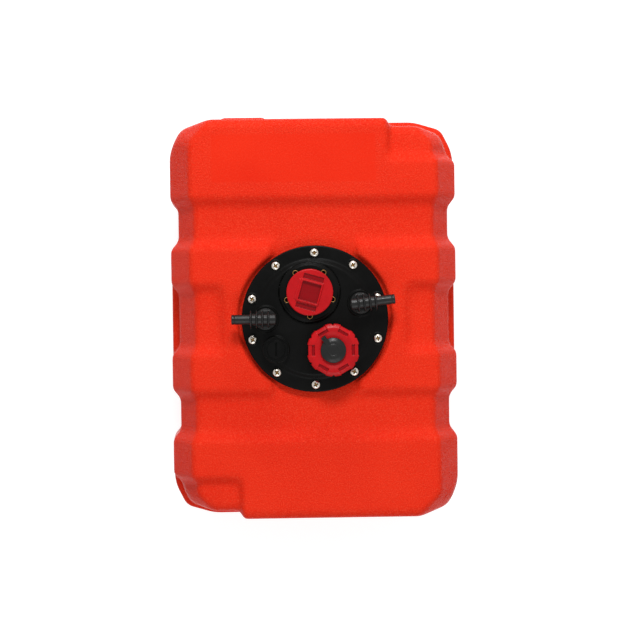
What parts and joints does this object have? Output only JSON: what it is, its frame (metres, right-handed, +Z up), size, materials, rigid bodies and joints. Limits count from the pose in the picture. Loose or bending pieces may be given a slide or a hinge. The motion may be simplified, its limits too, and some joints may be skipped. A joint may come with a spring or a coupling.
{
  "type": "portable outboard fuel tank",
  "caption": "Low rectangular moulded fuel tank with strap grooves and hand grips, and a round black top flange that carries a vented filler cap, a plugged gauge port and hose elbows.",
  "frame": {"origin": "centre of the underside, on the surface the tank stands on", "axes": "+Z up, +X across the width towards the return elbow, +Y along the length towards the gauge port"},
  "size_m": [0.335, 0.46, 0.2455],
  "materials": {
    "tank_orange_red": "moulded polyethylene with a fine orange-peel grain",
    "flange_black": "black moulded nylon, fine matt grain",
    "cap_red": "crimson moulded plastic, satin",
    "screw_steel": "stainless, polished heads",
    "brass": "turned brass",
    "rubber_black": "fuel-proof rubber",
    "tube_natural": "natural nylon tube",
    "strainer_steel": "perforated stainless"
  },
  "bodies": {
    "tank": {"tank_shell": "tank_orange_red", "flange_inserts": "brass", "flange_gasket": "rubber_black", "flange_plate": "flange_black", "flange_screws": "screw_steel", "gauge_inserts": "brass"},
    "gauge_plug": {"gauge_plug": "cap_red", "gauge_plug_seal": "rubber_black"},
    "cap_seal": {"cap_gasket": "rubber_black"},
    "cap": {"filler_cap": "cap_red"},
    "vent_knob": {"vent_knob": "flange_black"},
    "vent_valve": {"vent_valve": "flange_black", "vent_seal": "rubber_black"},
    "supply": {"supply_elbow": "flange_black", "supply_seal": "rubber_black", "pickup_tube": "tube_natural", "pickup_strainer": "strainer_steel"},
    "return": {"return_elbow": "flange_black", "return_seal": "rubber_black"},
    "blank_seal": {"blank_plug_seal": "rubber_black"},
    "blank_plug": {"blank_plug": "flange_black"}
  },
  "joints": [
    {"name": "gauge_plug_lift", "type": "slide", "parent": "tank", "child": "gauge_plug", "axis": [0, 0, 1], "range_m": [0, 0.04]},
    {"name": "cap_lift", "type": "slide", "parent": "tank", "child": "cap_seal", "axis": [0, 0, 1], "range_m": [0, 0.06]},
    {"name": "cap_turn", "type": "hinge", "parent": "cap_seal", "child": "cap", "pos_m": [0.0195, -0.035, 0.235], "axis": [0, 0, 1], "range_deg": [0, 540]},
    {"name": "vent_turn", "type": "hinge", "parent": "cap", "child": "vent_knob", "pos_m": [0.0195, -0.035, 0.24], "axis": [0, 0, 1], "range_deg": [0, 120]},
    {"name": "vent_valve_slide", "type": "slide", "parent": "cap", "child": "vent_valve", "axis": [0, 0, 1], "range_m": [-0.0016, 0]},
    {"name": "supply_swivel", "type": "hinge", "parent": "tank", "child": "supply", "pos_m": [-0.0559, 0.0003, 0.2215], "axis": [0, 0, 1], "range_deg": [-60, 60]},
    {"name": "return_swivel", "type": "hinge", "parent": "tank", "child": "return", "pos_m": [0.0515, 0.0171, 0.2215], "axis": [0, 0, 1], "range_deg": [-60, 60]},
    {"name": "blank_lift", "type": "slide", "parent": "tank", "child": "blank_seal", "axis": [0, 0, 1], "range_m": [0, 0.04]},
    {"name": "blank_turn", "type": "hinge", "parent": "blank_seal", "child": "blank_plug", "pos_m": [-0.0444, -0.0341, 0.2215], "axis": [0, 0, 1], "range_deg": [0, 2880]}
  ],
  "couplings": [
    {"joint": "vent_valve_slide", "follows": "vent_turn", "m_per_rad": -0.0007162}
  ]
}
